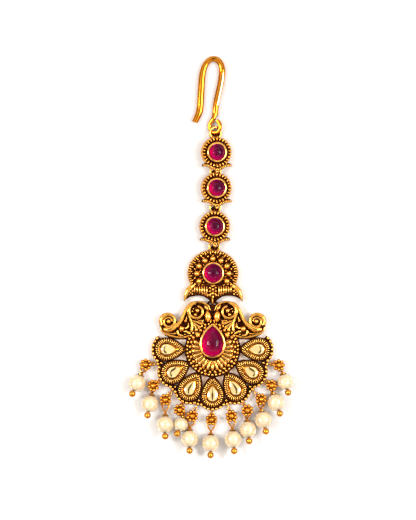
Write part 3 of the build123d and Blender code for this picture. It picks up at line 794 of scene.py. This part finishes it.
def make_petal(band, dark, bright, highlight_top, angle, low):
    """Ribbed border on a dark ground, a band inside it, and a dome in pale gold on top and deeper gold round
    its foot: painted highlight over painted shade.
    """
    place = spoke(PETAL_REACH, angle) @ Matrix.Rotation(pi, 4, "Z")
    web = (PETAL_R + PETAL_WEB, PETAL_LENGTH + PETAL_WEB_LENGTH)
    teardrop_solid(bright, place, *web, [(1, 1, low), (1, 1, 1.3)])
    teardrop_solid(dark, place, *web, [(1, 1, 1.25), (1, 1, 1.5), (0.97, 0.96, 1.65)])
    crown = [Vector((x, 0, z)) for x, z in ((-0.45, 1.66), (-0.18, 1.80), (0.20, 1.90), (0.43, 1.82))]
    for spot, heading in evenly_round(PETAL_R - 0.31, PETAL_LENGTH - 0.25, PETAL_RIBS):
        rib = place @ at(*spot, 0, heading + 90)
        bar(bright, [rib @ point for point in crown], [0.13, 0.16, 0.15, 0.10], sides=8)
    inner = (PETAL_R - BAND_INSET, PETAL_LENGTH - BAND_INSET_LENGTH)
    teardrop_solid(band, place, *inner, [
        (1, 1, 1.3), (1, 1, 1.76), (0.96, 0.95, 1.82), (0.91, 0.89, 1.76), (0.86, 0.82, 1.56),
        (0.86, 0.82, 1.4),
    ])
    foot = (DOME_LONG, DOME_WIDE)
    shaded_skirt, dome = [(*foot, 1.4, 0.0)], [(*foot, 1.45, 0.0), (0.76, 0.69, 1.6, 0.0)]
    for step in range(DOME_STEPS):
        share = 1 - step / (DOME_STEPS - 0.8)
        height = DOME_TOP - DOME_FALL * share**2 - DOME_EDGE * share**6
        dip = DOME_DIP * (1 - share)
        if share > 0.84:
            shaded_skirt.append((DOME_LONG * share, DOME_WIDE * share, height, dip))
        if share < 0.91:
            dome.append((DOME_LONG * share, DOME_WIDE * share, height + 0.012, dip))
    # The dome's foot in deeper gold is painted shade, and its top in pale gold is a painted highlight.
    teardrop_solid(band, place, *inner, shaded_skirt, lean=DOME_LEAN)
    teardrop_solid(highlight_top, place, *inner, dome, lean=DOME_LEAN)


def make_rim(gold, dark, bright, angle):
    """Beaded edge round a petal's outer end."""
    place = spoke(RIM_REACH, angle)
    turns = range(-RIM_HALF_ANGLE, RIM_HALF_ANGLE + 1, 6)
    outline = arc_points(RIM_OUTER_R, turns) + arc_points(RIM_INNER_R, reversed(turns))
    slab(bright, place, outline, 0.03, 0.85)
    slab(dark, place, outline, 0.7, 1.2)
    for step in range(-3, 4):
        bead = place @ spoke(RIM_R, RIM_BEAD_STEP * step, 1.30)
        ball(gold, bead, 1.0, (0.40, 0.48, 0.42))


def make_disc(gold, dark, bright, foil):
    """Fluted disc with its rows of beads, and the pear stone's foil and bezel."""
    turned(bright, at(0, 0, 0), [(0, 0.0), (6.95, 0.0), (PLATE_R, 0.1), (PLATE_R, 0.8), (0, 0.8)], 64)
    turned(dark, at(0, 0, 0), [
        (0, 0.75), (PLATE_R, 0.75), (PLATE_R, 0.95), (6.5, 1.0), (6.5, 1.45), (6.3, DISC_TOP), (0, DISC_TOP),
    ], 64)
    for index in range(DISC_BEADS):
        ball(gold, spoke(DISC_BEAD_REACH, 360 * index / DISC_BEADS, 1.66), 1.0, (0.34, 0.38, 0.36), 10, 8)
    for index in range(DISC_GRAINS):
        angle = 360 * index / DISC_GRAINS
        ball(gold, spoke(DISC_GRAIN_REACH, angle + 180 / DISC_GRAINS, 1.78), 0.41)
        ball(gold, spoke(FINE_GRAIN_REACH, angle, 1.68), 0.27, around=8, rings=6)
    flute = ((2.9, 1.95), (3.6, 2.05), (4.3, 2.05), (4.85, 1.95), (5.25, 1.7))
    groove = ((2.9, 1.9), (3.8, 1.9), (4.7, 1.75))
    for index in range(FLUTES):
        angle = 270 + FLUTE_STEP * (index - (FLUTES - 1) / 2)
        spine = [spoke(reach, angle, z).translation for reach, z in flute]
        bar(bright, spine, [0.15, 0.24, 0.38, 0.48, 0.24], lift=0.9)
        between = [spoke(reach, angle + FLUTE_STEP / 2, z).translation for reach, z in groove]
        bar(gold, between, [0.12, 0.15, 0.1], lift=0.9)
    pear = at(0, PEAR_CENTRE, 0, 90)
    teardrop_solid(foil, pear, PEAR_R, PEAR_LENGTH, [(1, 1, 1.58), (1, 1, 1.64)], 0.0, 72)
    wall = []
    for out, z in (
        (0.72, 1.5), (0.66, 1.9), (0.62, 2.5), (0.60, 2.86), (0.56, 2.98), (0.48, 3.05), (0.36, 3.10),
        (0.22, 3.125), (0.12, 3.12), (0.06, 3.06), (0.03, 2.8), (0.02, 1.5),
    ):
        wall.append(((PEAR_LENGTH + 1.25 * out) / PEAR_LENGTH, (PEAR_R + out) / PEAR_R, z))
    teardrop_solid(bright, pear, PEAR_R, PEAR_LENGTH, wall, 0.0, 72)


def make_pear_stone():
    """Pear cabochon, a little narrower than its bezel and meeting it at the point."""
    pear = bmesh.new()
    place = at(0, PEAR_CENTRE, 0, 90)
    radius, length = PEAR_R - PEAR_PLAY, PEAR_LENGTH + PEAR_POINT
    crown = [(0.97, 0.97, 1.66), (1, 1, 1.72), (1, 1, PEAR_GIRDLE - 0.05)]
    for rise in (6, 14, 22, 30, 38, 46, 54, 62, 70, 77, 83, 88):
        share = cos(radians(rise))
        crown.append((share, share, PEAR_GIRDLE + PEAR_RISE * sin(radians(rise))))
    teardrop_solid(pear, place, radius, length, crown, 0.0, 72)
    mark_painted_glow(pear, place, radius, length)
    finish_piece("ruby_pear_stone", ["ruby_pear"], [(RUBY, pear)])


# Crest, left half: each stroke is points, half widths and height
CREST_STROKES = [
    ([(-3.96, 11.80), (-5.42, 11.38), (-6.46, 10.18), (-7.13, 8.82), (-7.85, 7.26), (-8.86, 6.11),
      (-10.0, 5.28), (-11.15, 4.98), (-12.25, 5.05)],
     [0.22, 0.36, 0.44, 0.45, 0.48, 0.58, 0.74, 0.74, 0.45], 1.8),
    ([(-3.85, 11.95), (-2.29, 11.63), (-1.15, 10.90), (-0.55, 9.80)], [0.24, 0.26, 0.24, 0.1], 1.5),
    ([(-5.30, 11.00), (-6.00, 10.20), (-6.12, 9.30), (-5.83, 8.30), (-5.38, 7.15), (-5.10, 6.00),
      (-5.20, 4.86), (-5.50, 4.45)], [0.14, 0.28, 0.30, 0.28, 0.30, 0.34, 0.46, 0.26], 1.75),
    ([(-12.95, 5.60), (-12.75, 4.85), (-12.10, 4.10), (-10.90, 3.55), (-9.70, 3.20), (-8.71, 3.02),
      (-7.14, 3.06), (-5.58, 3.51), (-4.6, 3.9)], [0.2, 0.3, 0.3, 0.28, 0.28, 0.26, 0.24, 0.22, 0.12], 1.4),
    ([(-12.0, 4.2), (-10.94, 4.05), (-9.6, 3.9), (-8.9, 4.2)], [0.10, 0.18, 0.2, 0.12], 1.55),
    ([(-5.20, 7.26), (-3.96, 6.84), (-2.90, 6.45), (-2.30, 6.62)], [0.12, 0.28, 0.36, 0.42], 1.65),
    ([(-5.00, 6.84), (-3.96, 6.05), (-3.30, 5.62), (-3.00, 5.35)], [0.12, 0.27, 0.32, 0.12], 1.65),
    ([(-4.80, 6.43), (-4.27, 5.60), (-3.95, 5.00), (-3.80, 4.55)], [0.12, 0.28, 0.36, 0.16], 1.65),
    ([(-3.90, 6.95), (-3.20, 7.15), (-2.55, 7.10), (-2.20, 7.30)], [0.1, 0.24, 0.26, 0.1], 1.55),
    ([(-7.05, 5.45), (-6.55, 5.30), (-6.10, 5.70), (-6.00, 6.60)], [0.1, 0.26, 0.34, 0.1], 1.6),
    ([(-8.80, 4.65), (-8.62, 4.00), (-8.10, 3.55), (-7.30, 3.50)], [0.36, 0.36, 0.30, 0.12], 1.6),
    ([(-6.42, 8.20), (-6.55, 7.50), (-6.67, 6.94)], [0.08, 0.20, 0.42], 1.6),
    ([(-7.10, 4.40), (-6.55, 4.50), (-6.05, 4.15), (-5.55, 3.95)], [0.12, 0.34, 0.32, 0.12], 1.5),
]
SPIRAL_Z = 1.85
# Crest, left half: centre x, centre y, first and last radius, start angle, turn, half widths
CREST_SPIRALS = [
    (-10.95, 6.98, 2.02, 0.80, 206, -560, [0.5, 0.60, 0.48, 0.38, 0.38, 0.36, 0.30, 0.26, 0.24, 0.2]),
    (-3.96, 9.50, 2.02, 1.35, 95, 345, [0.20, 0.32, 0.34, 0.34, 0.35, 0.33, 0.30, 0.18]),
]
# Crest, left half: leaf x, leaf y, half width, half length, turn
CREST_LEAVES = [
    (-1.15, 8.20, 0.90, 1.50, 4),
    (-1.50, 10.35, 0.50, 1.00, 40),
    (-3.65, 3.60, 0.70, 0.80, -20),
    (-4.25, 8.66, 0.60, 0.50, 0),
    (-0.42, 6.95, 0.30, 0.70, -8),
]
# Crest, left half: ball x, ball y, radius
CREST_BALLS = [
    (-3.76, 9.70, 0.60), (-5.02, 9.45, 0.26), (-4.75, 10.10, 0.24), (-3.30, 10.45, 0.26),
    (-10.92, 7.00, 0.62), (-7.70, 5.18, 0.76), (-4.27, 5.00, 0.34), (-5.05, 3.05, 0.28),
    (-4.55, 4.10, 0.3), (-6.9, 3.75, 0.24), (-2.9, 4.75, 0.26),
]


def make_crest(gold, dark, bright):
    """Both lobes and volutes: one half is shaped, then mirrored over the middle line."""
    edges, slabs, strokes = bmesh.new(), bmesh.new(), bmesh.new()
    outline = [
        (0.05, 2.0), (0.05, 11.2), (-0.5, 11.2), (-1.0, 10.9), (-1.9, 11.5), (-3.0, 11.95), (-4.2, 12.05),
        (-5.4, 11.65), (-6.5, 10.6), (-7.3, 9.2), (-8.0, 7.7), (-8.8, 6.8), (-9.3, 7.8), (-10.0, 8.5),
        (-11.1, 8.8), (-12.2, 8.4), (-13.0, 7.6), (-13.3, 6.4), (-13.1, 5.3), (-12.7, 4.4), (-12.0, 3.6),
        (-10.8, 2.9), (-9.4, 2.5), (-6.6, 2.5), (-4.0, 2.0),
    ]
    slab(edges, Matrix(), outline, 0.04, 0.75)
    slab(slabs, Matrix(), outline, 0.6, PLATE_T)
    for points, sizes, z in CREST_STROKES:
        bar(strokes, smooth_line([(x, y, z) for x, y in points]), sizes, lift=0.95)
    for centre_x, centre_y, start_r, end_r, start, turn, sizes in CREST_SPIRALS:
        line = spiral_line(centre_x, centre_y, start_r, end_r, start, turn, SPIRAL_Z)
        bar(strokes, line, sizes, lift=0.95)
    for x, y, half_width, half_length, turn in CREST_LEAVES:
        ball(strokes, at(x, y, 1.45, turn), 1.0, (half_width, half_length, 0.85), 16, 12)
    for x, y, radius in CREST_BALLS:
        ball(strokes, at(x, y, 1.1 + 0.6 * radius), radius, around=14, rings=10)
    for half, work in ((edges, bright), (slabs, dark), (strokes, gold)):
        bmesh.ops.mirror(half, geom=half.verts[:] + half.edges[:] + half.faces[:], axis="X", merge_dist=0.0)
        join(work, half)


def rim_ring_place(drop):
    """Middle and heading of the rim ring that holds a drop."""
    _, angle, x, y, *_ = drop
    anchor = spoke(13.6, angle).translation
    heading = atan2(y - anchor.y, x - anchor.x)
    return x - RIM_RING_REACH * cos(heading), y - RIM_RING_REACH * sin(heading), degrees(heading)


def make_pendant():
    """The whole casting, with the rings on its rim that hold the drops."""
    gold, band, dark, bright, highlight_top, foil = (bmesh.new() for _ in range(6))
    for index in range(PETALS):
        angle = FIRST_PETAL + PETAL_STEP * index
        make_petal(band, dark, bright, highlight_top, angle, PETAL_LOWS[index % 2])
        make_rim(gold, dark, bright, angle)
    foot = [(-0.42, -0.42), (0.42, -0.42), (0.42, 0.42), (-0.42, 0.42)]
    for index in range(PETALS - 1):
        angle = FIRST_PETAL + PETAL_STEP * (index + 0.5)
        for reach, size in ((13.2, 0.34), (14.1, 0.42)):
            slab(dark, spoke(reach, angle), foot, 0.05, 1.05)
            ball(gold, spoke(reach, angle, 1.2), size)
    make_disc(gold, dark, bright, foil)
    make_crest(gold, dark, bright)
    ring_x, ring_y = PENDANT_RING
    hoop(dark, rolled(ring_x, ring_y, RING_Z, 0), RING_R, RING_WIRE)
    for drop in DROPS:
        x, y, turn = rim_ring_place(drop)
        hoop(gold, at(x, y, RIM_RING_Z), RIM_RING_R, RIM_RING_WIRE, 18, 8)
        stem = at(x, y, RIM_RING_Z, turn)
        bar(gold, [stem @ Vector((-2.0, 0, 0)), stem @ Vector((-RIM_RING_R, 0, 0))], [0.2, 0.2])
    coats = [
        (ANTIQUE, gold), (POLISHED, band), (RECESS, dark), (BRIGHT, bright), (PALE_HIGHLIGHT_GOLD, highlight_top), (FOIL, foil),
    ]
    finish_piece("pendant_metal", ["pendant"], coats)


# ---------------------------------------------------------------- drops


def make_cluster(drop):
    """Flower of granules with a loop through its rim ring and one for the pin's eye.

    Returns the middle of the loop that the eye catches.
    """
    number, _, x, y, pearl_x, pearl_y, *_ = drop
    _, _, top_heading = rim_ring_place(drop)
    heading = atan2(pearl_y - y, pearl_x - x)
    gold = bmesh.new()
    turned(gold, at(x, y, CLUSTER_Z), [(0, -0.3), (0.95, -0.3), (1.05, 0.0), (0.95, 0.3), (0, 0.35)], 24)
    ball(gold, at(x, y, CLUSTER_Z + 0.35), CENTRE_BALL_R, around=18, rings=12)
    for index in range(PETAL_BALLS):
        turn = degrees(heading) + 24 + 360 * index / PETAL_BALLS
        ball(gold, at(x, y, 0) @ spoke(PETAL_BALL_REACH, turn, CLUSTER_Z), PETAL_BALL_R, around=14, rings=10)
    top_reach = RIM_RING_REACH - RIM_RING_R
    top = at(x, y, RIM_RING_Z, top_heading) @ Vector((-top_reach, 0, 0))
    hoop(gold, on_edge(*top, top_heading), HANG_LOOP_R, 0.16, 20, 8)
    catch = at(x, y, CATCH_Z, degrees(heading)) @ Vector((CATCH_REACH, 0, 0))
    hoop(gold, on_edge(*catch, degrees(heading)), HANG_LOOP_R, 0.12, 20, 8)
    finish_piece(f"drop_flower_{number}", [f"drop_cluster_{number}"], [(POLISHED, gold)])
    return catch


def pin_place(drop):
    """Place in the middle of a drop's pearl, its Z along the pin."""
    *_, pearl_x, pearl_y, pearl_r, pin_heading, pin_pitch = drop
    heading, pitch = radians(pin_heading), radians(pin_pitch)
    axis = Vector((cos(pitch) * cos(heading), cos(pitch) * sin(heading), sin(pitch)))
    turn = Vector((0, 0, 1)).rotation_difference(axis).to_matrix().to_4x4()
    return Matrix.Translation((pearl_x, pearl_y, pearl_r)) @ turn


def make_pearl(drop):
    """Round bead drilled along its pin, resting on the surface."""
    number, pearl_r = drop[0], drop[6]
    pearl = bmesh.new()
    start = asin(PEARL_HOLE / pearl_r)
    lip = pearl_r * cos(start) - 0.3
    profile = [(PEARL_HOLE, lip)]
    for step in range(25):
        rise = start + (pi - 2 * start) * step / 24
        profile.append((pearl_r * sin(rise), pearl_r * cos(rise)))
    profile += [(PEARL_HOLE, -lip), (PEARL_HOLE, lip)]
    turned(pearl, pin_place(drop), profile)
    finish_piece(f"pearl_{number}_bead", [f"pearl_{number}"], [(PEARL, pearl)])


def eye_line(neck, catch):
    """Line of the wire from the pin's neck round the flower's lower loop and back."""
    run = catch - neck
    ahead, side = run.normalized(), run.cross(Vector((0, 0, 1))).normalized()
    radius = min(PIN_EYE_R, 0.42 * run.length)
    middle = run.length - radius
    touch = asin(radius / middle)
    outline = [(0.0, 0.0), (0.45 * middle * cos(touch) ** 2, 0.45 * middle * cos(touch) * sin(touch))]
    for step in range(9):
        turn = pi / 2 + touch - (pi + 2 * touch) * step / 8
        outline.append((middle + radius * cos(turn), radius * sin(turn)))
    outline += [(outline[1][0], -outline[1][1]), (0.0, 0.0)]
    return smooth_line([neck + ahead * along + side * out for along, out in outline], 4)


def make_pin(drop, catch):
    """Head pin through the pearl: its ball below, a cap above, and an eye bent round the flower's loop."""
    number, base = drop[0], drop[6] + GAP
    shank = pin_place(drop)
    gold = bmesh.new()
    ball(gold, shank @ Matrix.Translation((0, 0, base + HEAD_R - 0.04)), HEAD_R, around=24, rings=16)
    bar(gold, [shank @ Vector((0, 0, z)) for z in (base + 0.3, -base - CAP_T)], [PIN_SHANK, PIN_SHANK])
    turned(gold, shank, [(radius, -base - height) for radius, height in CAP_PROFILE], 20)
    neck = shank @ Vector((0, 0, -base - CAP_T - CAP_NECK))
    bar(gold, eye_line(neck, catch), [0.22, 0.21, 0.21, 0.22], sides=8)
    finish_piece(f"drop_pin_{number}_wire", [f"drop_pin_{number}"], [(POLISHED, gold)])


# ---------------------------------------------------------------- studio


# softbox, place, width, height, power; all face the jewel's middle
SOFTBOXES = [
    ("panel_left", (-0.280, 0.05, 0.415), 1.20, 0.53, 1.9),
    ("panel_right", (0.280, 0.05, 0.415), 1.20, 0.53, 2.1),
    ("lamp_left", (-0.325, 0.045, 0.375), 0.11, 0.15, 1.5),
    ("lamp_right", (0.325, 0.035, 0.375), 0.18, 0.20, 1.8),
    ("panel_top", (0.0, 0.66, 0.48), 0.9, 0.42, 0.9),
    ("panel_low", (0.0, -0.60, 0.48), 0.9, 0.42, 0.8),
]
LIT_SPOT = (0.0, 0.02, 0.0)
LAMP_COLOUR = (1.0, 0.99, 0.97)
FLOOR_Z = -0.00002


def make_softbox(name, place, width, height, power):
    """Rectangular light turned to the jewel's middle, itself unseen."""
    light = bpy.data.lights.new(name, "AREA")
    light.shape = "RECTANGLE"
    light.size = width
    light.size_y = height
    light.energy = power
    light.color = LAMP_COLOUR
    lamp = bpy.data.objects.new(name, light)
    lamp.location = place
    lamp.rotation_euler = (Vector(LIT_SPOT) - lamp.location).to_track_quat("-Z", "Y").to_euler()
    lamp.visible_camera = False
    bpy.context.scene.collection.objects.link(lamp)


def make_floor():
    """White paper that the jewel lies on."""
    work = bmesh.new()
    bmesh.ops.create_grid(work, x_segments=1, y_segments=1, size=2.5)
    mesh = bpy.data.meshes.new("floor")
    work.to_mesh(mesh)
    work.free()
    floor = bpy.data.objects.new("floor", mesh)
    floor.location.z = FLOOR_Z
    bpy.context.scene.collection.objects.link(floor)
    paper, _, shader = new_finish("white_paper")
    shader.inputs["Base Color"].default_value = (0.73, 0.725, 0.725, 1)
    shader.inputs["Roughness"].default_value = 0.9
    mesh.materials.append(paper)


def make_studio():
    """Floor, softboxes and a dim warm room round them."""
    make_floor()
    for softbox in SOFTBOXES:
        make_softbox(*softbox)
    world = bpy.data.worlds.new("studio")
    world.use_nodes = True
    room = world.node_tree.nodes["Background"]
    room.inputs["Color"].default_value = (1.0, 0.64, 0.38, 1)
    room.inputs["Strength"].default_value = 0.12
    bpy.context.scene.world = world
    bpy.context.scene.view_settings.view_transform = "Standard"


def make_camera():
    """Straight above the jewel, with +Y up the picture."""
    reach = 0.80
    picture_height = 0.130
    data = bpy.data.cameras.new("camera")
    data.sensor_fit = "VERTICAL"
    data.sensor_height = 36.0
    data.lens = 36.0 * reach / picture_height
    data.clip_end = 10.0
    camera = bpy.data.objects.new("camera", data)
    camera.location = (-0.001125, 0.0223, reach)
    bpy.context.scene.collection.objects.link(camera)
    bpy.context.scene.camera = camera


make_camera()
make_studio()
make_hair_hook()
for link_index in range(len(SMALL_LINKS)):
    make_small_link(link_index)
make_large_link()
make_pendant()
make_pear_stone()
for one_drop in DROPS:
    loop_place = make_cluster(one_drop)
    make_pearl(one_drop)
    make_pin(one_drop, loop_place)
